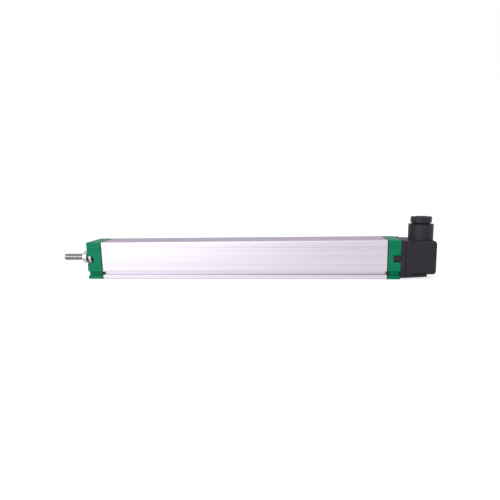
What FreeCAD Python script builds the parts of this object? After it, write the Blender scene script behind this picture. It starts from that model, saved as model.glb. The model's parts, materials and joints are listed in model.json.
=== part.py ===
import FreeCAD, Part
import math
import os

# Rod-type linear potentiometer: an extruded case with two end caps, a threaded
# pull rod at the front and a four-pole plug connector at the rear.
# Millimetres. +X runs along the case towards the plug, +Y to the back, +Z up.
# While building, X = 0 is the outer face of the front cap, Y = 0 the middle of
# the case and Z = 0 its base. Each piece is shifted at the end, so that the
# stored origin is the middle of the base.

Vec = FreeCAD.Vector

# Case
case_wall = 2.0
case_floor = 8.8              # base slab below the cavity
top_edge_radius = 1.0
base_edge_radius = 0.9
groove_roof = 2.0             # slab left above the clamp grooves
groove_height = 2.9
groove_depth = 2.7
line_inset = 5.3              # fine lines, above the groove and below the top
line_width = 0.5
line_depth = 0.22
base_cell_width = 9.0
base_cell_bottom = 2.2
base_cell_roof = 2.2

# Travel, which sets the length of the case
electrical_stroke = 200.0
over_travel = 2.5             # at each end
end_gap = 0.5                 # carriage to bumper at each limit
bumper_thickness = 3.0
bumper_hole_margin = 1.0      # around the rod
carriage_length = 25.0
rear_spigot = 5.0             # reach of the rear cap into the case

# End caps
front_cap_length = 13.2
gasket_thickness = 0.8
gasket_lug = 0.3
cap_groove_drop = 0.9         # caps' grooves reach lower than the case's
cap_edge_radius = 0.6
notch_height = 5.8
notch_length = 5.9
notch_drop = 0.5              # notch centre below the rod centre
spigot_clearance = 0.25
spigot_rise = 1.8             # above the track board
pocket_floor = 1.5            # rear cap, between socket pocket and case

# Cap screws, countersunk, and their ports in the case
port_radius = 1.3
port_wall = 1.6
port_cover = 3.3              # upper ports to the top of the case
port_side_cover = 3.35        # upper ports to the side of the case
lower_port_height = 4.4
boss_gap = 0.9                # carriage to port bosses
screw_radius = 1.5
screw_hole_radius = 1.7
screw_head_radius = 2.75
screw_head_height = 1.7
head_land = 0.6               # lower screw heads to the clamp grooves
screw_reach = 9.0
recess_width = 0.7
recess_length = 3.0
recess_depth = 1.0

# Rod and what it carries
rod_radius = 3.0
thread_length = 18.8
thread_chamfer = 0.5
relief_length = 1.0           # thread run-out in front of the collar
relief_depth = 0.55
collar_length = 4.0
collar_edge = 0.3
bump_washer_step = 0.75       # smaller than the collar all round
bump_washer_thickness = 1.75
retracted_gap = 0.15          # bump washer to bush at rest

# Self-aligning guide bush in the front cap
bush_flange_length = 2.3
bush_flange_gap = 1.0         # flange to cap face
bush_wall = 0.7
bush_float = 0.5              # radial float of the body in the cap
bush_rim = 1.05               # flange outside the scraper
bush_tail = 1.1               # body behind its clip
bush_end_gap = 0.8            # body to the front bumper
liner_wall = 0.67
running_clearance = 0.03
scraper_wall = 1.6
scraper_length = 1.8
scraper_clearance = 0.1
float_ring_clearance = 0.1
inner_ring_wall = 2.4
inner_ring_length = 1.8
seat_set_in = 0.3             # inner ring's seat behind the cap's inner face
clip_thickness = 0.8
clip_depth = 0.45
clip_rim = 1.8
clip_mouth = 3.0

# Carriage and its coupling to the rod
wall_gap = 0.35               # carriage to case wall
wiper_room = 2.4              # track board to carriage
carriage_web = 0.5            # below the button's pocket
carriage_roof = 2.3           # above the button's pocket
carriage_bore_clearance = 0.3
rail_height = 1.6
rail_reach = 1.4
pad_wall = 1.1
pad_clearance = 0.12
pad_length = 6.0
pad_inset = 1.0
pad_web = 0.63                # keeper to guide pads
button_shoulder = 1.2
button_length = 4.0
button_pilot_radius = 2.0
button_radial_gap = 0.3
button_end_gap = 0.2
keeper_thickness = 2.0
keeper_land = 0.7             # below the button's pocket
keeper_edge = 0.2             # outside its screw heads
screw_land = 1.4              # button's pocket to keeper screws
small_screw_radius = 1.0
small_head_radius = 1.9
small_head_height = 0.9
small_screw_length = 7.0

# Track board and wipers
board_thickness = 1.6
board_slot_depth = 0.7
board_side_clearance = 0.15
board_end_clearance = 0.2
track_thickness = 0.15
track_width = 4.8
track_offset = 5.0
track_end_margin = 4.0
wiper_plate_thickness = 1.0
wiper_plate_length = 14.0
wiper_plate_edge = 1.0        # outside the wipers
wiper_plate_inset = 6.0
wiper_strip = 0.2
wiper_width = 4.0
wiper_tip_gap = 0.1
finger_count = 4
finger_slit = 0.25
wiper_foot = 3.5
wiper_arm = 5.5
wiper_toe = 1.5
wiper_toe_rise = 0.5

# Connector base, fixed to the rear cap
base_seal_thickness = 0.5
flange_thickness = 3.0
flange_side_inset = 0.35      # flange inside the case's outline
flange_top_drop = 0.3
flange_bottom = 1.0
flange_corner_radius = 1.2
plug_rise = 0.4               # plug centre above the rod centre
socket_depth = 5.0
socket_clearance = 0.6
socket_land = 0.26            # socket pocket to the upper screw heads
socket_rim = 1.0              # outside the contact blades
tab_half_height = 2.4
tab_recess = 0.8
lip_length = 18.2
lip_inset = 0.9
lip_bottom_rise = 1.1
lip_gap = 0.15

# Contacts
blade_thickness = 0.8
blade_width = 6.3
blade_end_gap = 0.2
tail_width = 2.4
tail_length = 2.5
insert_radius = 2.6
insert_length = 7.0
wire_radius = 0.45
wire_pad_inset = 2.5
window_margin = 0.5
window_rim = 1.6
pocket_margin = 1.2

# Plug
plug_seal_thickness = 0.8
plug_length = 24.5
plug_wall = 1.8
skirt_length = 4.5
skirt_proud = 0.35
plug_corner_radius = 1.8
plug_top_radius = 3.0
plug_bottom_radius = 2.5
plug_cavity_bevel = 3.2
plug_chin = 0.5               # further below the contacts than above them
head_recess_radius = 3.6
head_recess_depth = 3.3
head_boss_wall = 1.4
plug_screw_head_radius = 2.9
plug_screw_head_height = 2.0
plug_screw_seal = 0.8
plug_screw_slot = 0.8
plug_screw_round = 0.6
block_clearance = 0.2
block_edge = 1.0
block_side_land = 1.2         # outside the contacts
block_top_land = 1.25
contact_inset = 1.0           # from each end of the terminal block
contact_length = 6.4
contact_wall = 0.8
terminal_wall_gap = 1.2       # screw heads to the plug's wall
terminal_screw_radius = 1.5
terminal_screw_length = 3.0
terminal_head_radius = 2.4
terminal_head_height = 1.6

# Cable gland, upright on the plug
neck_wall = 2.4
neck_height = 12.8            # above the plug body
gland_bore_radius = 7.6
gland_seat_radius = 5.5
gland_seat_rise = 3.2
grommet_height = 6.0
grommet_bore = 3.6
washer_thickness = 0.8
washer_bore = 4.6
gland_nut_sides = 12
gland_nut_flats = 16.3
gland_nut_head = 5.0
gland_nut_gap = 1.2           # visible thread between head and neck
gland_nut_bore = 4.5
gland_nut_bevel = 1.2
gland_clearance = 0.1

# Radii, from the rod outwards
bush_bore = rod_radius + running_clearance
bush_body_radius = bush_bore + liner_wall + bush_wall
scraper_radius = rod_radius + scraper_wall
collar_radius = scraper_radius + bush_rim
bump_washer_radius = collar_radius - bump_washer_step
inner_seat_radius = bush_body_radius + inner_ring_wall + 2 * float_ring_clearance
button_radius = rod_radius + button_shoulder
pocket_radius = button_radius + button_radial_gap
neck_radius = gland_bore_radius + neck_wall

# Across, from the rod to the side of the case
keeper_screw_offset = pocket_radius + screw_land + small_screw_radius
keeper_half_width = keeper_screw_offset + small_head_radius + keeper_edge
pad_inner = keeper_half_width + pad_web
cavity_half = pad_inner + pad_wall + pad_clearance + rail_reach
half_depth = cavity_half + case_wall
wiper_plate_half_width = track_offset + wiper_width / 2 + wiper_plate_edge
flange_half_width = half_depth - flange_side_inset
lip_half_width = flange_half_width - lip_inset

# Upwards, from the base to the top of the case
groove_top = case_floor - groove_roof
groove_bottom = groove_top - groove_height
cap_groove_bottom = groove_bottom - cap_groove_drop
base_cell_top = case_floor - base_cell_roof
board_top = case_floor + board_thickness
track_top = board_top + track_thickness
spigot_bottom = board_top + spigot_rise
carriage_bottom = board_top + wiper_room
axis_height = carriage_bottom + carriage_web + pocket_radius
carriage_top = axis_height + pocket_radius + carriage_roof
keeper_half_height = pocket_radius + keeper_land
pad_half_height = rail_height / 2 + pad_clearance + pad_wall
upper_port_height = carriage_top + boss_gap + port_wall + port_radius
section_height = upper_port_height + port_radius + port_cover
cavity_top = section_height - case_wall
flange_top = section_height - flange_top_drop
line_heights = (groove_top + line_inset, section_height - line_inset)
notch_centre = axis_height - notch_drop
upper_port = (half_depth - port_side_cover - port_radius, upper_port_height)   # across, up
lower_port = (half_depth - groove_depth - head_land - screw_head_radius, lower_port_height)

# Connector, whose socket lies between the upper cap screws
plug_centre = axis_height + plug_rise
port_distance = math.hypot(upper_port[0], upper_port[1] - plug_centre)
socket_radius = port_distance - screw_head_radius - socket_land - socket_clearance
blade_circle = socket_radius - socket_rim - blade_thickness / 2
contact_reach = blade_circle + blade_thickness / 2 + contact_wall
shell_build_up = block_clearance + plug_wall + skirt_proud
plug_half_width = contact_reach + block_side_land + shell_build_up
plug_half_height = contact_reach + block_top_land + shell_build_up
plug_bottom = plug_centre - plug_half_height - plug_chin
plug_top = plug_centre + plug_half_height
neck_top = plug_top + neck_height
terminal_screw_offset = (plug_half_width - skirt_proud - plug_wall
                         - terminal_wall_gap - terminal_head_radius)

# Stations along X
front_gasket_start = front_cap_length
tube_start = front_gasket_start + gasket_thickness
inner_seat_start = front_cap_length + seat_set_in
clip_start = inner_seat_start + inner_ring_length
bush_inner_end = clip_start + clip_thickness + bush_tail
front_spigot_end = bush_inner_end + bush_end_gap
front_bumper_end = front_spigot_end + bumper_thickness
mechanical_stroke = electrical_stroke + 2 * over_travel
carriage_end = front_bumper_end + end_gap + mechanical_stroke + carriage_length
carriage_start = carriage_end - carriage_length
rear_bumper_start = carriage_end + end_gap
rear_spigot_end = rear_bumper_start + bumper_thickness
tube_end = rear_spigot_end + rear_spigot
rear_cap_start = tube_end + gasket_thickness
rear_cap_length = socket_depth + tail_length + pocket_margin + pocket_floor
case_length = rear_cap_start + rear_cap_length
bush_back = -bush_flange_gap
bush_front = bush_back - bush_flange_length
collar_back = bush_front - retracted_gap - bump_washer_thickness
collar_front = collar_back - collar_length
rod_tip = collar_front - thread_length
flange_start = case_length + base_seal_thickness
flange_end = flange_start + flange_thickness
plug_start = flange_end + plug_seal_thickness
plug_end = plug_start + plug_length
gland_x = plug_end - neck_radius
block_length = contact_length + 2 * contact_inset
blade_end = plug_start + contact_inset + contact_length - blade_end_gap
socket_start = case_length - socket_depth
tail_start = socket_start - tail_length
pocket_start = tail_start - pocket_margin
keeper_start = carriage_end - keeper_thickness
button_end = keeper_start - button_end_gap
button_start = button_end - button_length


def box(x, y, z):
    """Block between the low and high value of each axis."""
    return Part.makeBox(x[1] - x[0], y[1] - y[0], z[1] - z[0], Vec(x[0], y[0], z[0]))


def bar(radius, x_low, x_high, y=0.0, z=axis_height):
    """Round bar along X."""
    return Part.makeCylinder(radius, x_high - x_low, Vec(x_low, y, z), Vec(1, 0, 0))


def ring(outer, inner, x_low, x_high, y=0.0, z=axis_height):
    """Round ring along X."""
    return bar(outer, x_low, x_high, y, z).cut(bar(inner, x_low, x_high, y, z))


def post(radius, z_low, z_high):
    """Round post along Z on the gland's axis."""
    return Part.makeCylinder(radius, z_high - z_low, Vec(gland_x, 0, z_low))


def collar_ring(outer, inner, z_low, z_high):
    """Round ring along Z on the gland's axis."""
    return post(outer, z_low, z_high).cut(post(inner, z_low, z_high))


def prism(points, y_low, y_high):
    """Outline of (x, z) points, extruded along Y."""
    corners = [Vec(x, y_low, z) for x, z in points]
    face = Part.Face(Part.makePolygon(corners + corners[:1]))
    return face.extrude(Vec(0, y_high - y_low, 0))


def spans(edge, axis):
    """True where an edge is straight and runs along the axis."""
    start = edge.Vertexes[0].Point
    end = edge.Vertexes[-1].Point
    step = end - start
    return step.Length > 1e-6 and abs(abs(step.dot(axis)) - step.Length) < 1e-6


def edges_at(shape, axis, test):
    """Straight edges along the axis whose middle passes the test."""
    found = []
    for edge in shape.Edges:
        if spans(edge, axis) and test(edge.CenterOfMass):
            found.append(edge)
    return found


def edges_near(shape, x):
    """Edges that lie wholly in the plane at x."""
    return [e for e in shape.Edges if abs(e.BoundBox.XMin - x) < 1e-3 and abs(e.BoundBox.XMax - x) < 1e-3]


def both_sides(shape):
    """The shape and its mirror image across the middle of the case."""
    return [shape, shape.mirror(Vec(0, 0, 0), Vec(0, 1, 0))]


def case_blank(x_low, x_high, slot_bottom):
    """Outer section shared by the case and its caps, with the clamp grooves."""
    blank = box((x_low, x_high), (-half_depth, half_depth), (0, section_height))
    along = Vec(1, 0, 0)
    top = edges_at(blank, along, lambda c: c.z > section_height / 2)
    blank = blank.makeFillet(top_edge_radius, top)
    base = edges_at(blank, along, lambda c: c.z < base_edge_radius)
    blank = blank.makeFillet(base_edge_radius, base)
    groove = box((x_low, x_high), (half_depth - groove_depth, half_depth), (slot_bottom, groove_top))
    for side in both_sides(groove):
        blank = blank.cut(side)
    return blank


def round_end(blank, x_end):
    """Rounds the rim of a cap where it meets its outer end face."""
    return blank.makeFillet(cap_edge_radius, edges_near(blank, x_end))


def port_places():
    """Centre of each of the four screw ports, across and up."""
    places = []
    for across, up in (upper_port, lower_port):
        places.append((-across, up))
        places.append((across, up))
    return places


def port_boss(x_low, x_high, margin=0.0):
    """Corner bosses of the upper screw ports, grown by a margin."""
    across, up = upper_port
    reach = port_radius + port_wall + margin
    boss = box((x_low, x_high), (across - reach, cavity_half), (up - reach, cavity_top))
    return both_sides(boss)


def rails(x_low, x_high, margin=0.0):
    """Guide rails on both side walls, grown by a margin."""
    half = rail_height / 2 + margin
    rail = box((x_low, x_high), (cavity_half - rail_reach - margin, cavity_half),
               (axis_height - half, axis_height + half))
    return both_sides(rail)


def housing_tube():
    tube = case_blank(tube_start, tube_end, groove_bottom)
    length = (tube_start, tube_end)
    cavity = box(length, (-cavity_half, cavity_half), (case_floor, cavity_top))
    for inner in port_boss(*length) + rails(*length):
        cavity = cavity.cut(inner)
    slot_half = cavity_half + board_slot_depth
    cavity = cavity.fuse(box(length, (-slot_half, slot_half), (case_floor, board_top)))
    tube = tube.cut(cavity)
    half_cell = base_cell_width / 2
    tube = tube.cut(box(length, (-half_cell, half_cell), (base_cell_bottom, base_cell_top)))
    for across, up in port_places():
        tube = tube.cut(bar(port_radius, tube_start, tube_end, across, up))
    for height in line_heights:
        line = box(length, (half_depth - line_depth, half_depth),
                   (height - line_width / 2, height + line_width / 2))
        for side in both_sides(line):
            tube = tube.cut(side)
    return tube


def spigot(x_low, x_high):
    """Block that locates a cap inside the case, clear of rails and bosses."""
    half = cavity_half - spigot_clearance
    block = box((x_low, x_high), (-half, half), (spigot_bottom, cavity_top - spigot_clearance))
    for keep_out in port_boss(x_low, x_high, spigot_clearance) + rails(x_low, x_high, spigot_clearance):
        block = block.cut(keep_out)
    return block


def screw_holes(outer_face, inner_face):
    """Clearance holes and countersinks for the four cap screws."""
    direction = 1 if inner_face > outer_face else -1
    cuts = []
    for across, up in port_places():
        start = Vec(outer_face, across, up)
        axis = Vec(direction, 0, 0)
        cuts.append(Part.makeCylinder(screw_hole_radius, abs(inner_face - outer_face), start, axis))
        cuts.append(Part.makeCone(screw_head_radius, screw_hole_radius, screw_head_height, start, axis))
    return cuts


def notch(x_low, x_high):
    """Slot across a cap's outer end at rod height."""
    half = notch_height / 2
    return box((x_low, x_high), (-half_depth, half_depth), (notch_centre - half, notch_centre + half))


def front_cap():
    cap = round_end(case_blank(0, front_cap_length, cap_groove_bottom), 0)
    cap = cap.fuse(spigot(front_cap_length, front_spigot_end))
    cap = cap.cut(notch(0, notch_length))
    cap = cap.cut(bar(collar_radius + float_ring_clearance, 0, notch_length))
    cap = cap.cut(bar(bush_body_radius + bush_float, 0, front_spigot_end))
    cap = cap.cut(bar(inner_seat_radius, inner_seat_start, front_spigot_end))
    for hole in screw_holes(0, front_cap_length):
        cap = cap.cut(hole)
    return cap


def wire_window(x_low, x_high):
    """Way for the leads from the board up to the contact tails."""
    half = track_offset + 2 * wire_radius + window_margin
    slot = box((x_low, x_high), (-half, half), (board_top - window_margin, plug_centre))
    return slot.fuse(bar(half + window_rim, x_low, x_high, 0, plug_centre))


def rear_cap():
    cap = round_end(case_blank(rear_cap_start, case_length, cap_groove_bottom), case_length)
    cap = cap.fuse(spigot(rear_spigot_end, rear_cap_start))
    cap = cap.cut(notch(case_length - notch_length, case_length))
    cap = cap.cut(bar(socket_radius + socket_clearance, pocket_start, case_length, 0, plug_centre))
    cap = cap.cut(wire_window(rear_spigot_end, pocket_start))
    for hole in screw_holes(case_length, rear_cap_start):
        cap = cap.cut(hole)
    return cap


def cap_gasket(x_low, x_high, lug_low, lug_high):
    """Flat seal between a cap and the case, with a lug in each clamp groove."""
    sheet = case_blank(x_low, x_high, cap_groove_bottom)
    sheet = sheet.cut(box((x_low, x_high), (-cavity_half, cavity_half), (case_floor, cavity_top)))
    for boss in port_boss(x_low, x_high):
        sheet = sheet.fuse(boss)
    lug = box((min(lug_low, x_low), max(lug_high, x_high)),
              (half_depth - groove_depth, half_depth - line_depth), (groove_bottom, groove_top))
    for side in both_sides(lug):
        sheet = sheet.fuse(side)
    for across, up in port_places():
        sheet = sheet.cut(bar(screw_hole_radius, x_low, x_high, across, up))
    return sheet


def cap_screws(outer_face, inner_face, port_start):
    """Four countersunk screws, each a head, a shank and a core in its port."""
    direction = 1 if inner_face > outer_face else -1
    axis = Vec(direction, 0, 0)
    screws = []
    for across, up in port_places():
        start = Vec(outer_face, across, up)
        head = Part.makeCone(screw_head_radius, screw_radius, screw_head_height, start, axis)
        shank = Part.makeCylinder(screw_radius, abs(port_start - outer_face), start, axis)
        core = Part.makeCylinder(port_radius, abs(port_start - outer_face) + screw_reach, start, axis)
        screw = head.fuse(shank).fuse(core)
        deep = outer_face + direction * recess_depth
        x_span = (min(outer_face, deep), max(outer_face, deep))
        half_wide = recess_width / 2
        half_long = recess_length / 2
        upright = box(x_span, (across - half_wide, across + half_wide), (up - half_long, up + half_long))
        level = box(x_span, (across - half_long, across + half_long), (up - half_wide, up + half_wide))
        screws.append(screw.cut(upright).cut(level))
    return Part.makeCompound(screws)


def guide_bush():
    bush = bar(collar_radius, bush_front, bush_back).fuse(bar(bush_body_radius, bush_back, bush_inner_end))
    bush = bush.cut(bar(bush_bore + liner_wall, bush_front, bush_inner_end))
    bush = bush.cut(bar(scraper_radius, bush_front, bush_front + scraper_length))
    groove = ring(bush_body_radius, bush_body_radius - clip_depth, clip_start, clip_start + clip_thickness)
    return bush.cut(groove)


def bush_liner():
    return ring(bush_bore + liner_wall, bush_bore, bush_front + scraper_length, bush_inner_end)


def rod_scraper():
    return ring(scraper_radius, rod_radius + scraper_clearance, bush_front, bush_front + scraper_length)


def outer_float_ring():
    return ring(collar_radius, bush_body_radius, bush_back, notch_length)


def inner_float_ring():
    outer = inner_seat_radius - 2 * float_ring_clearance
    return ring(outer, bush_body_radius, inner_seat_start, clip_start)


def bush_retaining_clip():
    end = clip_start + clip_thickness
    clip = ring(bush_body_radius + clip_rim, bush_body_radius - clip_depth, clip_start, end)
    half_mouth = clip_mouth / 2
    return clip.cut(box((clip_start, end), (-half_mouth, half_mouth), (axis_height, section_height)))


def drive_rod():
    rod = bar(rod_radius, rod_tip, button_start)
    rod = rod.makeChamfer(thread_chamfer, edges_near(rod, rod_tip))
    relief_start = collar_front - relief_length
    rod = rod.cut(ring(collar_radius, rod_radius - relief_depth, relief_start, collar_front))
    return rod.fuse(bar(button_pilot_radius, button_start, button_end))


def rod_collar():
    collar = bar(collar_radius, collar_front, collar_back)
    rims = edges_near(collar, collar_front) + edges_near(collar, collar_back)
    collar = collar.makeChamfer(collar_edge, rims)
    return collar.cut(bar(rod_radius, collar_front, collar_back))


def rod_bump_washer():
    return ring(bump_washer_radius, rod_radius, collar_back, collar_back + bump_washer_thickness)


def coupling_button():
    button = bar(button_radius, button_start, button_end)
    rims = edges_near(button, button_start) + edges_near(button, button_end)
    button = button.makeChamfer(collar_edge, rims)
    return button.cut(bar(button_pilot_radius, button_start, button_end))


def keeper_screw_places():
    return [(-keeper_screw_offset, axis_height), (keeper_screw_offset, axis_height)]


def carriage():
    half = cavity_half - wall_gap
    body = box((carriage_start, carriage_end), (-half, half), (carriage_bottom, carriage_top))
    rail_slot = box((carriage_start, carriage_end), (pad_inner, half),
                    (axis_height - pad_half_height, axis_height + pad_half_height))
    for side in both_sides(rail_slot):
        body = body.cut(side)
    body = body.cut(bar(rod_radius + carriage_bore_clearance, carriage_start, carriage_end))
    body = body.cut(bar(pocket_radius, button_start - button_end_gap, carriage_end))
    seat = box((keeper_start, carriage_end), (-keeper_half_width, keeper_half_width),
               (axis_height - keeper_half_height, carriage_top))
    body = body.cut(seat)
    for across, up in keeper_screw_places():
        body = body.cut(bar(small_screw_radius, carriage_end - small_screw_length, carriage_end, across, up))
    for x, across in wiper_screw_places():
        hole = Part.makeCylinder(small_screw_radius, small_screw_length / 2, Vec(x, across, carriage_bottom))
        body = body.cut(hole)
    return body


def guide_pad(x_low, side):
    """Slippery pad that straddles one rail, let into the carriage's side slot."""
    x_span = (x_low, x_low + pad_length)
    half = cavity_half - wall_gap
    pad = box(x_span, (pad_inner, half), (axis_height - pad_half_height, axis_height + pad_half_height))
    gap = rail_height / 2 + pad_clearance
    pad = pad.cut(box(x_span, (pad_inner + pad_wall, half), (axis_height - gap, axis_height + gap)))
    return both_sides(pad)[side]


def coupling_keeper():
    low = axis_height - keeper_half_height
    plate = box((keeper_start, carriage_end), (-keeper_half_width, keeper_half_width), (low, carriage_top))
    for across, up in keeper_screw_places():
        plate = plate.cut(bar(small_screw_radius, keeper_start, carriage_end, across, up))
        head_start = carriage_end - small_head_height
        plate = plate.cut(bar(small_head_radius, head_start, carriage_end, across, up))
    return plate


def keeper_screws():
    screws = []
    for across, up in keeper_screw_places():
        head = bar(small_head_radius, carriage_end - small_head_height, carriage_end, across, up)
        shank = bar(small_screw_radius, carriage_end - small_screw_length, carriage_end, across, up)
        slot = box((carriage_end - small_head_height / 2, carriage_end),
                   (across - small_head_radius, across + small_head_radius),
                   (up - wiper_strip, up + wiper_strip))
        screws.append(head.fuse(shank).cut(slot))
    return Part.makeCompound(screws)


def wiper_screw_places():
    x = carriage_start + wiper_plate_inset + wiper_plate_length - 2 * small_head_radius
    return [(x, -track_offset), (x, track_offset)]


def wiper_plate():
    start = carriage_start + wiper_plate_inset
    low = carriage_bottom - wiper_plate_thickness
    plate = box((start, start + wiper_plate_length), (-wiper_plate_half_width, wiper_plate_half_width),
                (low, carriage_bottom))
    for x, across in wiper_screw_places():
        plate = plate.cut(Part.makeCylinder(small_screw_radius, wiper_plate_thickness, Vec(x, across, low)))
        plate = plate.cut(Part.makeCylinder(small_head_radius, small_head_height / 2, Vec(x, across, low)))
    return plate


def wiper_screws():
    screws = []
    low = carriage_bottom - wiper_plate_thickness
    for x, across in wiper_screw_places():
        head = Part.makeCylinder(small_head_radius, small_head_height / 2, Vec(x, across, low))
        length = wiper_plate_thickness + small_screw_length / 2
        shank = Part.makeCylinder(small_screw_radius, length, Vec(x, across, low))
        screws.append(head.fuse(shank))
    return Part.makeCompound(screws)


def wiper(middle):
    """Sprung strip with fingers that press on one track."""
    x0 = carriage_start + wiper_plate_inset
    x1 = x0 + wiper_foot
    x2 = x1 + wiper_arm
    x3 = x2 + wiper_toe
    high = carriage_bottom - wiper_plate_thickness
    tip = track_top + wiper_tip_gap + wiper_strip
    toe = tip + wiper_toe_rise
    upper = [(x0, high), (x1, high), (x2, tip), (x3, toe)]
    lower = [(x, z - wiper_strip) for x, z in reversed(upper)]
    strip = prism(upper + lower, middle - wiper_width / 2, middle + wiper_width / 2)
    pitch = wiper_width / finger_count
    for index in range(1, finger_count):
        cut_at = middle - wiper_width / 2 + index * pitch
        slit = box((x1, x3), (cut_at - finger_slit / 2, cut_at + finger_slit / 2), (track_top, high))
        strip = strip.cut(slit)
    return strip


def track_board():
    half = cavity_half + board_slot_depth - board_side_clearance
    x_span = (tube_start + board_end_clearance, tube_end - board_end_clearance)
    return box(x_span, (-half, half), (case_floor, board_top))


def track(middle):
    x_span = (tube_start + track_end_margin, tube_end - track_end_margin)
    return box(x_span, (middle - track_width / 2, middle + track_width / 2), (board_top, track_top))


def bumper(x_low, x_high):
    """Rubber plate that the carriage meets at the end of its travel."""
    half = cavity_half - rail_reach - 2 * wall_gap
    plate = box((x_low, x_high), (-half, half), (spigot_bottom + wall_gap, carriage_top))
    edges = edges_at(plate, Vec(1, 0, 0), lambda c: True)
    plate = plate.makeFillet(top_edge_radius, edges)
    return plate.cut(bar(rod_radius + bumper_hole_margin, x_low, x_high))


def blade_places():
    """Blade centre across and up, and True where the blade stands upright."""
    return [(-blade_circle, plug_centre, True), (blade_circle, plug_centre, True),
            (0.0, plug_centre - blade_circle, False), (0.0, plug_centre + blade_circle, False)]


def blade_box(place, x_low, x_high, width, thickness):
    across, up, upright = place
    wide = width / 2
    thin = thickness / 2
    if upright:
        return box((x_low, x_high), (across - thin, across + thin), (up - wide, up + wide))
    return box((x_low, x_high), (across - wide, across + wide), (up - thin, up + thin))


def contact_blade(place):
    blade = blade_box(place, socket_start, blade_end, blade_width, blade_thickness)
    return blade.fuse(blade_box(place, tail_start, socket_start, tail_width, blade_thickness))


def lead_wire(index):
    """Insulated lead from the board's end to one contact tail."""
    across, up, upright = blade_places()[index]
    start_y = track_offset * (-1, 1, 0)[index]
    level = board_top + wire_radius
    start = Vec(tube_end - wire_pad_inset, start_y, level)
    points = [start]
    if upright:
        points.append(Vec(rear_cap_start, start_y, level))
        points.append(Vec(tail_start - 2 * wire_radius, start_y, up))
    else:
        points.append(Vec(pocket_start + wire_radius, start_y, level))
    points.append(Vec(tail_start - wire_radius, across, up))
    wire = None
    for a, b in zip(points[:-1], points[1:]):
        run = Part.makeCylinder(wire_radius, (b - a).Length, a, b - a)
        wire = run if wire is None else wire.fuse(run)
        wire = wire.fuse(Part.makeSphere(wire_radius, b))
    return wire.removeSplitter()


def latch_tabs(x_low, x_high):
    """Tabs of the connector base that sit in the rear cap's side notches."""
    tab = box((x_low, x_high), (blade_circle + blade_thickness, half_depth - tab_recess),
              (notch_centre - tab_half_height, notch_centre + tab_half_height))
    return both_sides(tab)


def connector_base():
    width = (-flange_half_width, flange_half_width)
    flange = box((flange_start, flange_end), width, (flange_bottom, flange_top))
    flange = flange.makeFillet(flange_corner_radius, edges_at(flange, Vec(1, 0, 0), lambda c: True))
    socket = bar(socket_radius, socket_start, flange_start, 0, plug_centre)
    lip_top = plug_bottom - lip_gap
    lip_end = flange_end + lip_length
    outline = [(flange_end, flange_bottom), (lip_end, flange_bottom + lip_bottom_rise),
               (lip_end, lip_top), (flange_end, lip_top)]
    lip = prism(outline, -lip_half_width, lip_half_width)
    tip = edges_at(lip, Vec(0, 0, 1), lambda c: c.x > flange_end + lip_length / 2)
    lip = lip.makeFillet(flange_corner_radius, tip)
    base = flange.fuse(socket).fuse(lip)
    for tab in latch_tabs(case_length - notch_length + float_ring_clearance, flange_start):
        base = base.fuse(tab)
    for place in blade_places():
        base = base.cut(blade_box(place, socket_start, flange_end, blade_width, blade_thickness))
    hole_start = flange_end - insert_length
    return base.cut(bar(insert_radius, hole_start, flange_end, 0, plug_centre))


def base_insert():
    start = flange_end - insert_length
    return ring(insert_radius, screw_radius, start, flange_end, 0, plug_centre)


def base_seal():
    """Flat seal between the rear cap and the connector base."""
    width = (-flange_half_width, flange_half_width)
    sheet = box((case_length, flange_start), width, (flange_bottom, flange_top))
    sheet = sheet.makeFillet(flange_corner_radius, edges_at(sheet, Vec(1, 0, 0), lambda c: True))
    sheet = sheet.cut(bar(socket_radius, case_length, flange_start, 0, plug_centre))
    for tab in latch_tabs(case_length, flange_start):
        sheet = sheet.cut(tab)
    return sheet


def plug_seal():
    """Profile seal between the connector base and the plug."""
    seal = box((flange_end, plug_start), (-plug_half_width + skirt_proud, plug_half_width - skirt_proud),
               (plug_bottom + skirt_proud, plug_top - skirt_proud))
    seal = seal.makeFillet(flange_corner_radius, edges_at(seal, Vec(1, 0, 0), lambda c: True))
    for place in blade_places():
        seal = seal.cut(blade_box(place, flange_end, plug_start, blade_width, blade_thickness))
    return seal.cut(bar(screw_radius, flange_end, plug_start, 0, plug_centre))


def plug_body():
    """Outside of the plug, rounded at its far end."""
    half = plug_half_width - skirt_proud
    body = box((plug_start, plug_end), (-half, half), (plug_bottom, plug_top))
    across = Vec(0, 1, 0)
    low_edge = edges_at(body, across, lambda c: c.x > plug_end - 1e-3 and c.z < plug_centre)
    body = body.makeFillet(plug_bottom_radius, low_edge)
    high_edge = edges_at(body, across, lambda c: c.x > plug_end - 1e-3 and c.z > plug_centre)
    body = body.makeFillet(plug_top_radius, high_edge)
    upright = edges_at(body, Vec(0, 0, 1), lambda c: c.x > plug_end - 1e-3)
    return body.makeFillet(plug_corner_radius, upright)


def plug_shell():
    skirt = box((plug_start, plug_start + skirt_length), (-plug_half_width, plug_half_width),
                (plug_bottom, plug_top))
    body = plug_body().fuse(skirt).fuse(post(neck_radius, plug_centre, neck_top))
    inner_half = plug_half_width - skirt_proud - plug_wall
    inner_end = plug_end - plug_wall
    cavity = box((plug_start, inner_end), (-inner_half, inner_half),
                 (plug_bottom + plug_wall, plug_top - plug_wall - skirt_proud))
    bevel = edges_at(cavity, Vec(0, 1, 0), lambda c: c.x > inner_end - 1e-3 and c.z > plug_centre)
    cavity = cavity.makeChamfer(plug_cavity_bevel, bevel)
    boss = bar(head_recess_radius + head_boss_wall, plug_end - head_recess_depth - head_boss_wall, plug_end,
               0, plug_centre)
    body = body.cut(cavity.cut(boss))
    body = body.cut(bar(head_recess_radius, plug_end - head_recess_depth, plug_end, 0, plug_centre))
    body = body.cut(bar(screw_hole_radius, plug_start, plug_end, 0, plug_centre))
    seat = plug_top + gland_seat_rise
    body = body.cut(post(gland_bore_radius, seat, neck_top))
    return body.cut(post(gland_seat_radius, plug_top - plug_wall - skirt_proud, seat))


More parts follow.
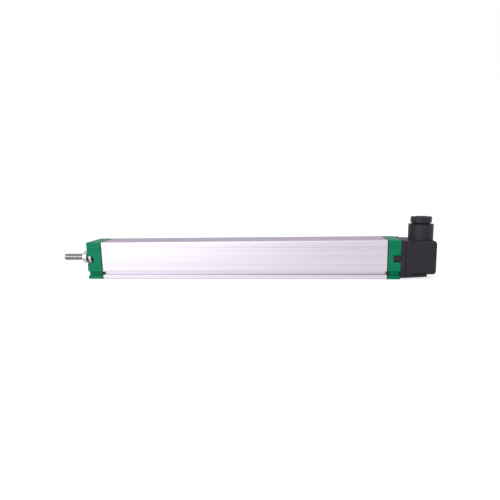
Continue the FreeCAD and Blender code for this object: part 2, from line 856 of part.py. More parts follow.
def terminal_block():
    half = plug_half_width - skirt_proud - plug_wall - block_clearance
    low = plug_bottom + plug_wall + block_clearance
    high = plug_top - plug_wall - skirt_proud - block_clearance
    start = plug_start
    end = start + block_length
    block = box((start, end), (-half, half), (low, high))
    block = block.makeChamfer(block_edge, edges_at(block, Vec(1, 0, 0), lambda c: True))
    for place in blade_places():
        block = block.cut(contact_envelope(place))
        block = block.cut(blade_box(place, start, end - contact_inset, blade_width, blade_thickness))
    for across, up in terminal_screw_places():
        block = block.cut(bar(terminal_screw_radius, end - terminal_screw_length, end, across, up))
    return block.cut(bar(screw_hole_radius, start, end, 0, plug_centre))


def contact_envelope(place):
    """Space in the terminal block that one socket contact fills."""
    start = plug_start + contact_inset
    return blade_box(place, start, start + contact_length, blade_width + 2 * contact_wall,
                     blade_thickness + 2 * contact_wall)


def socket_contact(place):
    """Folded contact that grips a blade on both faces."""
    start = plug_start + contact_inset
    return contact_envelope(place).cut(
        blade_box(place, start, start + contact_length, blade_width, blade_thickness))


def terminal_screw_places():
    places = []
    for side in (-1, 1):
        for level in (-1, 1):
            places.append((side * terminal_screw_offset, plug_centre + level * terminal_screw_offset))
    return places


def terminal_screws():
    screws = []
    end = plug_start + block_length
    for across, up in terminal_screw_places():
        head = bar(terminal_head_radius, end, end + terminal_head_height, across, up)
        shank = bar(terminal_screw_radius, end - terminal_screw_length, end, across, up)
        slot = box((end + terminal_head_height / 2, end + terminal_head_height),
                   (across - terminal_head_radius, across + terminal_head_radius),
                   (up - recess_width / 2, up + recess_width / 2))
        screws.append(head.fuse(shank).cut(slot))
    return Part.makeCompound(screws)


def plug_screw():
    seat = plug_end - head_recess_depth + plug_screw_seal
    head_end = seat + plug_screw_head_height
    head = bar(plug_screw_head_radius, seat, head_end, 0, plug_centre)
    head = head.makeFillet(plug_screw_round, edges_near(head, head_end))
    shank = bar(screw_radius, flange_end - insert_length + contact_inset, seat, 0, plug_centre)
    half = plug_screw_slot / 2
    slot = box((head_end - plug_screw_head_height / 2, head_end),
               (-plug_screw_head_radius, plug_screw_head_radius), (plug_centre - half, plug_centre + half))
    return head.fuse(shank).cut(slot)


def plug_screw_washer():
    start = plug_end - head_recess_depth
    outer = plug_screw_head_radius + gland_clearance
    return ring(outer, screw_radius, start, start + plug_screw_seal, 0, plug_centre)


def gland_grommet():
    seat = plug_top + gland_seat_rise
    return collar_ring(gland_bore_radius - gland_clearance, grommet_bore, seat, seat + grommet_height)


def gland_washer():
    low = plug_top + gland_seat_rise + grommet_height
    return collar_ring(gland_bore_radius - gland_clearance, washer_bore, low, low + washer_thickness)


def gland_nut():
    """Hollow screw with a many-sided head, one of its flats towards the front."""
    low = plug_top + gland_seat_rise + grommet_height + washer_thickness
    head_low = neck_top + gland_nut_gap
    head_high = head_low + gland_nut_head
    half_side = math.pi / gland_nut_sides
    corner = gland_nut_flats / 2 / math.cos(half_side)
    angles = [half_side * (2 * k + 1) for k in range(gland_nut_sides)]
    corners = [Vec(gland_x + corner * math.cos(a), corner * math.sin(a), head_low) for a in angles]
    face = Part.Face(Part.makePolygon(corners + corners[:1]))
    head = face.extrude(Vec(0, 0, gland_nut_head))
    cone_height = gland_nut_head + gland_nut_bevel
    bevel = Part.makeCone(corner + cone_height, corner - gland_nut_bevel / 2, cone_height,
                          Vec(gland_x, 0, head_high - cone_height))
    head = head.common(bevel)
    nut = head.fuse(post(gland_bore_radius - gland_clearance, low, head_low))
    return nut.cut(post(gland_nut_bore, low, head_high))


def build():
    """Every piece by name."""
    pieces = {
        "housing_tube": housing_tube(),
        "front_cap": front_cap(),
        "rear_cap": rear_cap(),
        "front_gasket": cap_gasket(front_gasket_start, tube_start, tube_start, tube_start + gasket_lug),
        "rear_gasket": cap_gasket(tube_end, rear_cap_start, tube_end - gasket_lug, tube_end),
        "front_cap_screws": cap_screws(0, front_cap_length, tube_start),
        "rear_cap_screws": cap_screws(case_length, rear_cap_start, tube_end),
        "guide_bush": guide_bush(),
        "bush_liner": bush_liner(),
        "rod_scraper": rod_scraper(),
        "outer_float_ring": outer_float_ring(),
        "inner_float_ring": inner_float_ring(),
        "bush_retaining_clip": bush_retaining_clip(),
        "drive_rod": drive_rod(),
        "rod_collar": rod_collar(),
        "rod_bump_washer": rod_bump_washer(),
        "coupling_button": coupling_button(),
        "carriage": carriage(),
        "coupling_keeper": coupling_keeper(),
        "keeper_screws": keeper_screws(),
        "wiper_plate": wiper_plate(),
        "wiper_screws": wiper_screws(),
        "resistance_wiper": wiper(-track_offset),
        "collector_wiper": wiper(track_offset),
        "track_board": track_board(),
        "resistance_track": track(-track_offset),
        "collector_track": track(track_offset),
        "front_bumper": bumper(front_spigot_end, front_bumper_end),
        "rear_bumper": bumper(rear_bumper_start, rear_spigot_end),
        "connector_base": connector_base(),
        "base_insert": base_insert(),
        "base_seal": base_seal(),
        "plug_seal": plug_seal(),
        "plug_shell": plug_shell(),
        "terminal_block": terminal_block(),
        "terminal_screws": terminal_screws(),
        "plug_screw": plug_screw(),
        "plug_screw_washer": plug_screw_washer(),
        "gland_grommet": gland_grommet(),
        "gland_washer": gland_washer(),
        "gland_nut": gland_nut(),
    }
    pad_starts = (carriage_start + pad_inset, carriage_end - pad_inset - pad_length)
    for end_name, x_low in zip(("front", "rear"), pad_starts):
        for side_name, side in (("back", 0), ("near", 1)):
            pieces["guide_pad_" + end_name + "_" + side_name] = guide_pad(x_low, side)
    blade_names = ("contact_blade_1", "contact_blade_2", "contact_blade_3", "earth_blade")
    contact_names = ("socket_contact_1", "socket_contact_2", "socket_contact_3", "earth_contact")
    for blade_name, contact_name, place in zip(blade_names, contact_names, blade_places()):
        pieces[blade_name] = contact_blade(place)
        pieces[contact_name] = socket_contact(place)
    for index in range(3):
        pieces["lead_wire_" + str(index + 1)] = lead_wire(index)
    return pieces


os.makedirs("parts", exist_ok=True)
for name, shape in build().items():
    shape.translate(Vec(-case_length / 2, 0, 0))
    shape.exportStep("parts/" + name + ".step")
    print(name, len(shape.Solids), shape.isValid(), round(shape.Volume, 1))
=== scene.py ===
import json
import math

import bpy
from mathutils import Matrix, Vector


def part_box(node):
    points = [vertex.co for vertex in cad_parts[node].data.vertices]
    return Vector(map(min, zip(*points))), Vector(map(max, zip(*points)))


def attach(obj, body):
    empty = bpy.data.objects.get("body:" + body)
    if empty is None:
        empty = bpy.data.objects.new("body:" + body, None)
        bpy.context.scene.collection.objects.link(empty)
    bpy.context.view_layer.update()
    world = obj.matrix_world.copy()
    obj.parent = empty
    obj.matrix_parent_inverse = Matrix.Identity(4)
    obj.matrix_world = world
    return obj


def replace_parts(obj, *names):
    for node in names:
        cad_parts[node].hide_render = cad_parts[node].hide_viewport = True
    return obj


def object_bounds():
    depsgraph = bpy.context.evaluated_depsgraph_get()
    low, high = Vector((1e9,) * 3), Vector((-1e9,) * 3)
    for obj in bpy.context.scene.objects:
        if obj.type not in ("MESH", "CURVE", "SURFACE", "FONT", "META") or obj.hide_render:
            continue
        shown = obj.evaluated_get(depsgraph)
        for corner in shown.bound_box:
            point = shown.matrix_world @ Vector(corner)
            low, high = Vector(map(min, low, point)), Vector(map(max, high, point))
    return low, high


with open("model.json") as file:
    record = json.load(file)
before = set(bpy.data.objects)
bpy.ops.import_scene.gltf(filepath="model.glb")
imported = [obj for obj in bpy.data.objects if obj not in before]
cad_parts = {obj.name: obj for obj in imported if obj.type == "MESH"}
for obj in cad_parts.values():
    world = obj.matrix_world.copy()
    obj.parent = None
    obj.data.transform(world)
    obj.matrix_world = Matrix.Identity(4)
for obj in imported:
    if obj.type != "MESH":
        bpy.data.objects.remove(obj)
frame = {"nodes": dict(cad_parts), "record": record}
cad_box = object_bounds()
record = frame["record"]

MM = 0.001

# Camera, at the photograph's viewing angle
CAMERA_PLACE = Vector((46.5, -356.0, 80.8)) * MM
CAMERA_YAW = math.radians(5.99)      # turned to the left
CAMERA_PITCH = math.radians(9.13)    # looking down
CAMERA_ROLL = math.radians(-1.27)
CAMERA_NEAR = 10 * MM                # nearest place that it shows
SENSOR_WIDTH = 36.0
FOCAL_SHARE = 0.8178                 # focal length over the width of the frame

# Shared by the fine shapes
TURN = 2 * math.pi
WELD_GAP = 0.002 * MM
SHARP_ANGLE = math.radians(35.0)
FLAT_ANGLE = math.radians(0.3)       # faces that meet at less are one face
ROUNDING_STEPS = 2
EDGE = 0.15 * MM
THREAD_CREST = 0.45                  # share of the pitch that is flat at the top
THREAD_ROOT = 0.25                   # and at the bottom

# Drive rod
THREAD_PITCH = 1.0 * MM
THREAD_DEPTH = 0.50 * MM
THREAD_CHAMFER = 0.5 * MM
THREAD_STEP = THREAD_PITCH / 12
RELIEF = 1.0 * MM
RELIEF_DEPTH = 0.55 * MM
RELIEF_SLOPE = 0.06 * MM
PILOT_RADIUS = 2.0 * MM
ROD_POINTS = 48                      # round the rod

# Gland nut
NUT_SIDES = 12
NUT_HEAD = 5.0 * MM
NUT_BEVEL = 0.5 * MM                 # upper rim
NUT_BEVEL_STEPS = 4
NUT_RIM = 0.35 * MM                  # lower rim
NUT_THREAD = 7.5 * MM                # radius over the crests
NUT_PITCH = 1.5 * MM
NUT_DEPTH = 0.85 * MM
NUT_STEP = NUT_PITCH / 10
NUT_RUN_OUT = 0.375 * MM             # thread to head
NUT_NECK = 0.3 * MM                  # plain stretch below the head
NUT_BORE = 4.5 * MM
NUT_POINTS = 144                     # round the nut

# Surface patterns, in cells per metre along each axis
FLOW_CELLS = (90.0, 180.0, 180.0)
POLISH_CELLS = (150.0, 150.0, 150.0)
EXTRUSION_CELLS = (2.0, 420.0, 420.0)
ETCH_CELLS = (7000.0, 7000.0, 7000.0)
WEAVE_CELLS = (900.0, 900.0, 900.0)
RESIN_CELLS = (400.0, 400.0, 400.0)

# Depth of the surface patterns
MARK_DEPTH = 0.004 * MM
EXTRUSION_DEPTH = 0.010 * MM
ETCH_DEPTH = 0.004 * MM
WEAVE_DEPTH = 0.005 * MM

# How far a surface's roughness swings to both sides
MOULDED_SWING = 0.05
METAL_SWING = 0.04

# Anodising, from the darkest line to the palest
ANODISED_DARK = (0.555, 0.505, 0.570)
ANODISED_PALE = (0.655, 0.598, 0.668)
ANODISED_GRAZED = (0.42, 0.38, 0.47, 1.0)

# Studio
WHITE = (1.0, 1.0, 1.0)
FLOOR_SIZE = 6.0
FLOOR_WHITE = 0.76                   # floor's own white; the rest of it is lit
FLOOR_LIT = 0.42
FLOOR_PLAIN = 0.8                    # as the object's diffuse light sees it
FLOOR_GAP = 0.05 * MM
ROOM_LIGHT = 0.6
BACKDROP_WHITE = 1.0


def start_material(name):
    """Empty node material with one Principled surface."""
    material = bpy.data.materials.new(name)
    material.use_nodes = True
    tree = material.node_tree
    tree.nodes.clear()
    output = tree.nodes.new("ShaderNodeOutputMaterial")
    surface = tree.nodes.new("ShaderNodeBsdfPrincipled")
    tree.links.new(surface.outputs["BSDF"], output.inputs["Surface"])
    return material, tree, surface


def stretched(tree, scale):
    """The piece's own coordinates in metres, times a scale along each axis."""
    place = tree.nodes.new("ShaderNodeTexCoord")
    mapping = tree.nodes.new("ShaderNodeMapping")
    mapping.inputs["Scale"].default_value = scale
    tree.links.new(place.outputs["Object"], mapping.inputs["Vector"])
    return mapping.outputs["Vector"]


def noise(tree, scale, detail=2.0, roughness=0.5):
    """Noise with that many cells per metre along each axis."""
    cloud = tree.nodes.new("ShaderNodeTexNoise")
    cloud.inputs["Scale"].default_value = 1.0
    cloud.inputs["Detail"].default_value = detail
    cloud.inputs["Roughness"].default_value = roughness
    tree.links.new(stretched(tree, scale), cloud.inputs["Vector"])
    return cloud.outputs["Fac"]


def graded(tree, value, low, high, start=0.3, end=0.7):
    """A value between 0 and 1 turned into a range of plain numbers."""
    grade = tree.nodes.new("ShaderNodeMapRange")
    grade.inputs["From Min"].default_value = start
    grade.inputs["From Max"].default_value = end
    grade.inputs["To Min"].default_value = low
    grade.inputs["To Max"].default_value = high
    tree.links.new(value, grade.inputs["Value"])
    return grade.outputs["Result"]


def tinted(tree, value, low, high, start=0.3, end=0.7):
    """A value between 0 and 1 turned into a colour between two others."""
    ramp = tree.nodes.new("ShaderNodeValToRGB")
    ramp.color_ramp.elements[0].position = start
    ramp.color_ramp.elements[1].position = end
    ramp.color_ramp.elements[0].color = (*low, 1.0)
    ramp.color_ramp.elements[1].color = (*high, 1.0)
    tree.links.new(value, ramp.inputs["Fac"])
    return ramp.outputs["Color"]


def raised(tree, height, depth, normal=None):
    """Bump of that depth in metres, on top of another bump if one is given."""
    bump = tree.nodes.new("ShaderNodeBump")
    bump.inputs["Strength"].default_value = 1.0
    bump.inputs["Distance"].default_value = depth
    tree.links.new(height, bump.inputs["Height"])
    if normal is not None:
        tree.links.new(normal, bump.inputs["Normal"])
    return bump.outputs["Normal"]


def shade(colour, share):
    return tuple(channel * share for channel in colour)


def moulded(name, colour, roughness, grain=5000.0, depth=0.012 * MM, mottle=0.12, gloss=0.25):
    """Moulded plastic or rubber: faint flow mottling and a fine spark-eroded grain."""
    material, tree, surface = start_material(name)
    flow = noise(tree, FLOW_CELLS, detail=3.0)
    tint = tinted(tree, flow, shade(colour, 1 - mottle), shade(colour, 1 + mottle))
    tree.links.new(tint, surface.inputs["Base Color"])
    specks = noise(tree, (grain, grain, grain))
    rough = graded(tree, specks, roughness - MOULDED_SWING, roughness + MOULDED_SWING)
    tree.links.new(rough, surface.inputs["Roughness"])
    skin = raised(tree, specks, depth)
    tree.links.new(raised(tree, flow, depth * 2, skin), surface.inputs["Normal"])
    surface.inputs["IOR"].default_value = 1.5
    surface.inputs["Specular IOR Level"].default_value = gloss
    return material


def worked_metal(name, colour, roughness, lines, streak=0.08):
    """Metal with tool marks: lines gives the marks per metre along each axis."""
    material, tree, surface = start_material(name)
    marks = noise(tree, lines, detail=3.0, roughness=0.6)
    tint = tinted(tree, marks, shade(colour, 1 - streak), shade(colour, 1 + streak))
    tree.links.new(tint, surface.inputs["Base Color"])
    cloud = noise(tree, POLISH_CELLS)
    rough = graded(tree, cloud, roughness - METAL_SWING, roughness + METAL_SWING)
    tree.links.new(rough, surface.inputs["Roughness"])
    tree.links.new(raised(tree, marks, MARK_DEPTH), surface.inputs["Normal"])
    surface.inputs["Metallic"].default_value = 1.0
    return material


def anodised_aluminium(name):
    """Matt silver anodising over extrusion lines that run the whole length."""
    material, tree, surface = start_material(name)
    lines = noise(tree, EXTRUSION_CELLS, detail=5.0, roughness=0.70)
    tint = tinted(tree, lines, ANODISED_DARK, ANODISED_PALE)
    tree.links.new(tint, surface.inputs["Base Color"])
    etch = noise(tree, ETCH_CELLS)
    tree.links.new(graded(tree, lines, 0.37, 0.49), surface.inputs["Roughness"])
    skin = raised(tree, etch, ETCH_DEPTH)
    tree.links.new(raised(tree, lines, EXTRUSION_DEPTH, skin), surface.inputs["Normal"])
    surface.inputs["Metallic"].default_value = 1.0
    surface.inputs["Specular Tint"].default_value = ANODISED_GRAZED
    return material


def green_plastic(name):
    return moulded(name, (0.0025, 0.174, 0.082), 0.48, gloss=0.10)


def black_rubber(name):
    return moulded(name, (0.010, 0.010, 0.011), 0.62, grain=3500.0)


def zinc_screw(name):
    return worked_metal(name, (0.60, 0.60, 0.57), 0.28, (1200.0, 1200.0, 1200.0))


def stainless(name):
    """Ground bar: marks run round it."""
    return worked_metal(name, (0.32, 0.298, 0.29), 0.23, (2600.0, 90.0, 90.0))


def bearing_metal(name):
    return worked_metal(name, (0.48, 0.465, 0.475), 0.38, (3200.0, 120.0, 120.0))


def bronze_liner(name):
    return worked_metal(name, (0.42, 0.29, 0.15), 0.45, (2000.0, 2000.0, 2000.0), streak=0.2)


def spring_steel(name):
    return worked_metal(name, (0.16, 0.16, 0.19), 0.30, (1500.0, 1500.0, 1500.0))


def slider_plastic(name):
    return moulded(name, (0.62, 0.60, 0.54), 0.38, mottle=0.04)


def pad_plastic(name):
    return moulded(name, (0.76, 0.76, 0.74), 0.5, mottle=0.03)


def precious_metal(name):
    return worked_metal(name, (0.72, 0.66, 0.48), 0.22, (120.0, 2500.0, 2500.0))


def board_laminate(name):
    """Glass-epoxy laminate with its weave showing faintly."""
    material, tree, surface = start_material(name)
    weave = tree.nodes.new("ShaderNodeTexBrick")
    weave.inputs["Scale"].default_value = 1.0
    weave.inputs["Color1"].default_value = (0.10, 0.17, 0.045, 1.0)
    weave.inputs["Color2"].default_value = (0.13, 0.21, 0.06, 1.0)
    weave.inputs["Mortar"].default_value = (0.08, 0.14, 0.035, 1.0)
    weave.inputs["Mortar Size"].default_value = 0.05
    tree.links.new(stretched(tree, WEAVE_CELLS), weave.inputs["Vector"])
    tree.links.new(weave.outputs["Color"], surface.inputs["Base Color"])
    cloud = noise(tree, RESIN_CELLS)
    tree.links.new(graded(tree, cloud, 0.30, 0.40), surface.inputs["Roughness"])
    tree.links.new(raised(tree, weave.outputs["Fac"], WEAVE_DEPTH), surface.inputs["Normal"])
    return material


def conductive_track(name):
    return moulded(name, (0.012, 0.012, 0.013), 0.25, grain=2500.0, depth=0.003 * MM)


def black_plastic(name):
    return moulded(name, (0.016, 0.0115, 0.0200), 0.50, grain=4200.0, depth=0.016 * MM)


def grey_plastic(name):
    return moulded(name, (0.075, 0.075, 0.08), 0.5)


def brass(name):
    return worked_metal(name, (0.66, 0.47, 0.20), 0.28, (2400.0, 200.0, 200.0))


def tinned_brass(name):
    return worked_metal(name, (0.64, 0.63, 0.59), 0.34, (200.0, 1800.0, 1800.0))


def wire_red(name):
    return moulded(name, (0.42, 0.012, 0.012), 0.35, grain=3000.0, depth=0.004 * MM)


def wire_yellow(name):
    return moulded(name, (0.55, 0.36, 0.02), 0.35, grain=3000.0, depth=0.004 * MM)


def wire_blue(name):
    return moulded(name, (0.012, 0.04, 0.32), 0.35, grain=3000.0, depth=0.004 * MM)


MATERIAL_MAKERS = (
    anodised_aluminium, green_plastic, black_rubber, zinc_screw, stainless, bearing_metal,
    bronze_liner, spring_steel, slider_plastic, pad_plastic, precious_metal, board_laminate,
    conductive_track, black_plastic, grey_plastic, brass, tinned_brass, wire_red, wire_yellow,
    wire_blue)
materials = {maker.__name__: maker(maker.__name__) for maker in MATERIAL_MAKERS}


def paint(piece, slot):
    piece.data.materials.clear()
    piece.data.materials.append(materials[slot])


for part in record["subparts"]:
    paint(frame["nodes"][part["node"]], part["material_slot"])


def geometry_group(name):
    """Geometry node group with its way in and its way out."""
    group = bpy.data.node_groups.new(name, "GeometryNodeTree")
    for way in ("INPUT", "OUTPUT"):
        group.interface.new_socket("Geometry", in_out=way, socket_type="NodeSocketGeometry")
    enter = group.nodes.new("NodeGroupInput")
    leave = group.nodes.new("NodeGroupOutput")
    return group, enter.outputs[0], leave.inputs[0]


def over(group, value, least):
    """1 where a value is over a limit."""
    test = group.nodes.new("ShaderNodeMath")
    test.operation = "GREATER_THAN"
    test.inputs[1].default_value = least
    group.links.new(value, test.inputs[0])
    return test.outputs[0]


def smooth_faces():
    """Node group that shades every face smooth and keeps the sharp edges sharp."""
    group, enter, leave = geometry_group("smooth_faces")
    smooth = group.nodes.new("GeometryNodeSetShadeSmooth")
    sharp = group.nodes.new("GeometryNodeSetShadeSmooth")
    sharp.domain = "EDGE"
    sharp.inputs["Shade Smooth"].default_value = False
    angle = group.nodes.new("GeometryNodeInputMeshEdgeAngle")
    chosen = over(group, angle.outputs["Unsigned Angle"], SHARP_ANGLE)
    group.links.new(chosen, sharp.inputs["Selection"])
    group.links.new(enter, smooth.inputs["Geometry"])
    group.links.new(smooth.outputs[0], sharp.inputs["Geometry"])
    group.links.new(sharp.outputs[0], leave)
    return group


def mark_edges(shortest):
    """Node group that marks the outward sharp edges over a length for the bevel."""
    group, enter, leave = geometry_group("mark_edges")
    angle = group.nodes.new("GeometryNodeInputMeshEdgeAngle")
    ends = group.nodes.new("GeometryNodeInputMeshEdgeVertices")
    length = group.nodes.new("ShaderNodeVectorMath")
    length.operation = "DISTANCE"
    group.links.new(ends.outputs["Position 1"], length.inputs[0])
    group.links.new(ends.outputs["Position 2"], length.inputs[1])
    both = group.nodes.new("ShaderNodeMath")
    both.operation = "MULTIPLY"
    group.links.new(over(group, angle.outputs["Signed Angle"], SHARP_ANGLE), both.inputs[0])
    group.links.new(over(group, length.outputs["Value"], shortest), both.inputs[1])
    store = group.nodes.new("GeometryNodeStoreNamedAttribute")
    store.data_type = "FLOAT"
    store.domain = "EDGE"
    store.inputs["Name"].default_value = "bevel_weight_edge"
    group.links.new(enter, store.inputs["Geometry"])
    group.links.new(both.outputs[0], store.inputs["Value"])
    group.links.new(store.outputs[0], leave)
    return group


SMOOTH_FACES = smooth_faces()

# Rounding of the sharp edges of each piece that shows, and the shortest edge that gets it, in
# millimetres
EDGE_ROUNDING = {
    "housing_tube": (0.15, 0.0), "front_cap": (0.3, 3.5), "rear_cap": (0.3, 3.5),
    "connector_base": (0.25, 2.5), "plug_shell": (0.15, 1.2), "guide_bush": (0.2, 0.0),
    "rod_collar": (0.12, 0.0), "rod_bump_washer": (0.15, 0.0), "front_gasket": (0.1, 0.0),
    "rear_gasket": (0.1, 0.0), "base_seal": (0.1, 0.0), "plug_seal": (0.1, 0.0),
    "plug_screw": (0.1, 0.0), "outer_float_ring": (0.15, 0.0)}

# Pieces whose flat faces stay split in triangles, since joined ones would be cut up badly
SPLIT_FACES = ("front_cap", "rear_cap")


def round_edges(piece, width, shortest):
    """Rounds the sharp edges of a solid, without a change to its mesh."""
    weld = piece.modifiers.new("weld", "WELD")
    weld.merge_threshold = WELD_GAP
    if piece.name not in SPLIT_FACES:
        merge = piece.modifiers.new("merge", "DECIMATE")
        merge.decimate_type = "DISSOLVE"
        merge.angle_limit = FLAT_ANGLE
    piece.modifiers.new("mark", "NODES").node_group = mark_edges(shortest)
    rounding = piece.modifiers.new("rounding", "BEVEL")
    rounding.width = width
    rounding.segments = ROUNDING_STEPS
    rounding.limit_method = "WEIGHT"
    rounding.use_clamp_overlap = False
    piece.modifiers.new("smooth", "NODES").node_group = SMOOTH_FACES
    piece.modifiers.new("normals", "WEIGHTED_NORMAL").keep_sharp = True


for node, (width, shortest) in EDGE_ROUNDING.items():
    round_edges(frame["nodes"][node], width * MM, shortest * MM)


def ring_grid(name, rows, body, slot, closed):
    """Solid of stacked rings of points. An open stack gets end faces, a closed one joins up."""
    around = len(rows[0])
    points = [point for row in rows for point in row]
    faces = []
    count = len(rows)
    for k in range(count if closed else count - 1):
        low, high = k * around, (k + 1) % count * around
        for j in range(around):
            n = (j + 1) % around
            faces.append((low + j, low + n, high + n, high + j))
    if not closed:
        faces.append(tuple(reversed(range(around))))
        faces.append(tuple(range((count - 1) * around, count * around)))
    mesh = bpy.data.meshes.new(name)
    mesh.from_pydata(points, [], faces)
    mesh.update()
    mesh.shade_smooth()
    mesh.set_sharp_from_angle(angle=SHARP_ANGLE)
    piece = bpy.data.objects.new(name, mesh)
    bpy.context.scene.collection.objects.link(piece)
    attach(piece, body)
    paint(piece, slot)
    return piece


def thread_height(turn):
    """Height of a thread, 0 at the root and 1 at the crest, at a share of one turn."""
    flank = 0.5 - THREAD_CREST / 2 - THREAD_ROOT / 2
    away = abs((turn % 1.0) - 0.5)
    return min(1.0, max(0.0, (away - THREAD_ROOT / 2) / flank))


def stations(low, high, step):
    """Evenly spaced values from low to high, both included."""
    count = max(1, math.ceil((high - low) / step))
    return [low + (high - low) * k / count for k in range(count + 1)]


def whole_turn(count):
    """Evenly spaced angles round a full turn."""
    return [TURN * k / count for k in range(count)]


def threaded_rod():
    """Drive rod with its real thread, run-out groove, ground shaft and pilot."""
    low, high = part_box("drive_rod")
    axis = (low.z + high.z) / 2
    radius = (high.z - low.z) / 2
    groove = radius - RELIEF_DEPTH
    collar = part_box("rod_collar")[0].x
    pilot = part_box("coupling_button")[0].x
    run_out = collar - RELIEF
    angles = whole_turn(ROD_POINTS)
    rows = []

    def ring(x, reach):
        rows.append([(x, reach(a) * math.cos(a), axis + reach(a) * math.sin(a))
                     for a in angles])

    for x in stations(low.x, run_out, THREAD_STEP):
        chamfer = radius - THREAD_CHAMFER + (x - low.x)

        def reach(a):
            height = thread_height((x - low.x) / THREAD_PITCH - a / TURN)
            return min(chamfer, radius - THREAD_DEPTH * (1 - height))

        ring(x, reach)
    for x, reached in ((run_out + RELIEF_SLOPE, groove), (collar - EDGE, groove),
                       (collar, radius - EDGE), (collar + EDGE, radius), (pilot - EDGE, radius),
                       (pilot, radius - EDGE), (pilot, PILOT_RADIUS),
                       (high.x - EDGE, PILOT_RADIUS), (high.x, PILOT_RADIUS - EDGE)):
        ring(x, lambda a: reached)
    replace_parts(ring_grid("threaded_rod", rows, "rod", "stainless", False), "drive_rod")


def faceted_nut():
    """Gland nut: a head with many flats, both rims bevelled, on a hollow threaded shank."""
    low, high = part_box("gland_nut")
    flat = (high.y - low.y) / 2
    middle = (low.x + high.x) / 2
    head = high.z - NUT_HEAD
    side = TURN / NUT_SIDES
    corner = flat / math.cos(side / 2)
    root = NUT_THREAD - NUT_DEPTH
    angles = whole_turn(NUT_POINTS)
    rows = []

    def ring(z, reach):
        rows.append([(middle + reach(a) * math.cos(a), reach(a) * math.sin(a), z)
                     for a in angles])

    def flats(a, limit):
        across = (a + side / 2) % side - side / 2
        return min(limit, flat / math.cos(across))

    def thread(a):
        return root + NUT_DEPTH * thread_height((z - low.z) / NUT_PITCH - a / TURN)

    for z in stations(low.z, head - NUT_RUN_OUT, NUT_STEP):
        ring(z, thread)
    ring(head - NUT_NECK, lambda a: root)
    ring(head, lambda a: root + EDGE)
    ring(head, lambda a: flat - NUT_RIM)
    ring(head + NUT_RIM, lambda a: flats(a, corner))
    for k in range(NUT_BEVEL_STEPS + 1):
        bend = k / NUT_BEVEL_STEPS * math.pi / 2
        limit = corner - NUT_BEVEL * (1 - math.cos(bend))
        ring(high.z - NUT_BEVEL * (1 - math.sin(bend)), lambda a: flats(a, limit))
    ring(high.z, lambda a: NUT_BORE + EDGE)
    ring(high.z - EDGE, lambda a: NUT_BORE)
    ring(low.z, lambda a: NUT_BORE)
    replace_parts(ring_grid("faceted_nut", rows, "case", "black_plastic", True), "gland_nut")


threaded_rod()
faceted_nut()


def add_camera():
    camera = bpy.data.objects.new("camera", bpy.data.cameras.new("camera"))
    bpy.context.scene.collection.objects.link(camera)
    camera.data.sensor_width = SENSOR_WIDTH
    camera.data.lens = SENSOR_WIDTH * FOCAL_SHARE
    camera.data.clip_start = CAMERA_NEAR
    turn = (Matrix.Rotation(CAMERA_YAW, 4, "Z")
            @ Matrix.Rotation(math.pi / 2 - CAMERA_PITCH, 4, "X")
            @ Matrix.Rotation(CAMERA_ROLL, 4, "Z"))
    camera.matrix_world = Matrix.Translation(CAMERA_PLACE) @ turn
    bpy.context.scene.camera = camera


def seen_directly(tree):
    """1 for camera, glossy and transmission rays, 0 for the light that falls on the object."""
    path = tree.nodes.new("ShaderNodeLightPath")
    total = path.outputs["Is Camera Ray"]
    for name in ("Is Glossy Ray", "Is Transmission Ray"):
        either = tree.nodes.new("ShaderNodeMath")
        either.operation = "MAXIMUM"
        tree.links.new(total, either.inputs[0])
        tree.links.new(path.outputs[name], either.inputs[1])
        total = either.outputs[0]
    return total


def add_world():
    world = bpy.data.worlds.new("studio")
    world.use_nodes = True
    tree = world.node_tree
    tree.nodes.clear()
    output = tree.nodes.new("ShaderNodeOutputWorld")
    mix = tree.nodes.new("ShaderNodeMixShader")
    tree.links.new(seen_directly(tree), mix.inputs["Fac"])
    for socket, strength in ((mix.inputs[1], ROOM_LIGHT), (mix.inputs[2], BACKDROP_WHITE)):
        white = tree.nodes.new("ShaderNodeBackground")
        white.inputs["Color"].default_value = (*WHITE, 1.0)
        white.inputs["Strength"].default_value = strength
        tree.links.new(white.outputs["Background"], socket)
    tree.links.new(mix.outputs["Shader"], output.inputs["Surface"])
    bpy.context.scene.world = world


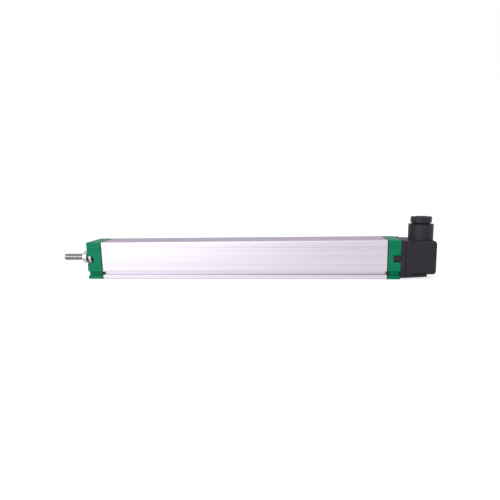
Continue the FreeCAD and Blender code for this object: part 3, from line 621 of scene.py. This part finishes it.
def floor_material():
    """Pale floor that keeps the object's shadow: part of its white is lit, part its own."""
    material = bpy.data.materials.new("floor")
    material.use_nodes = True
    tree = material.node_tree
    tree.nodes.clear()
    output = tree.nodes.new("ShaderNodeOutputMaterial")
    mix = tree.nodes.new("ShaderNodeMixShader")
    plain = tree.nodes.new("ShaderNodeBsdfDiffuse")
    plain.inputs["Color"].default_value = (FLOOR_PLAIN, FLOOR_PLAIN, FLOOR_PLAIN, 1.0)
    lit = tree.nodes.new("ShaderNodeBsdfDiffuse")
    lit.inputs["Color"].default_value = (FLOOR_LIT, FLOOR_LIT, FLOOR_LIT, 1.0)
    own = tree.nodes.new("ShaderNodeEmission")
    own.inputs["Strength"].default_value = FLOOR_WHITE
    both = tree.nodes.new("ShaderNodeAddShader")
    tree.links.new(lit.outputs["BSDF"], both.inputs[0])
    tree.links.new(own.outputs["Emission"], both.inputs[1])
    tree.links.new(seen_directly(tree), mix.inputs["Fac"])
    tree.links.new(plain.outputs["BSDF"], mix.inputs[1])
    tree.links.new(both.outputs["Shader"], mix.inputs[2])
    tree.links.new(mix.outputs["Shader"], output.inputs["Surface"])
    return material


def add_floor():
    half = FLOOR_SIZE / 2
    mesh = bpy.data.meshes.new("floor")
    corners = [(-half, -half, 0), (half, -half, 0), (half, half, 0), (-half, half, 0)]
    mesh.from_pydata(corners, [], [(0, 1, 2, 3)])
    floor = bpy.data.objects.new("floor", mesh)
    floor.location.z = cad_box[0].z - FLOOR_GAP
    bpy.context.scene.collection.objects.link(floor)
    mesh.materials.append(floor_material())


def add_softbox(name, azimuth, elevation, distance, size, watts, colour=WHITE):
    """Area lamp aimed at the middle of the object. Azimuth 0 is in front, 90 on the left."""
    light = bpy.data.lights.new(name, "AREA")
    light.shape = "RECTANGLE"
    light.size, light.size_y = size
    light.energy = watts
    light.color = colour
    lamp = bpy.data.objects.new(name, light)
    around, up = math.radians(azimuth), math.radians(elevation)
    away = Vector((-math.sin(around) * math.cos(up), -math.cos(around) * math.cos(up),
                   math.sin(up)))
    lamp.location = (cad_box[0] + cad_box[1]) / 2 + away * distance
    lamp.rotation_mode = "QUATERNION"
    lamp.rotation_quaternion = away.to_track_quat("Z", "Y")
    lamp.visible_camera = False
    bpy.context.scene.collection.objects.link(lamp)


add_camera()
add_world()
add_floor()
add_softbox("key_left", azimuth=29, elevation=15, distance=1.1, size=(0.75, 0.5), watts=6.5,
            colour=(0.96, 1.0, 0.97))
add_softbox("top_front", azimuth=10, elevation=66, distance=1.4, size=(1.2, 0.8), watts=4)
add_softbox("back_high", azimuth=165, elevation=62, distance=1.5, size=(1.0, 1.0), watts=2)

bpy.context.scene.view_settings.view_transform = "Standard"
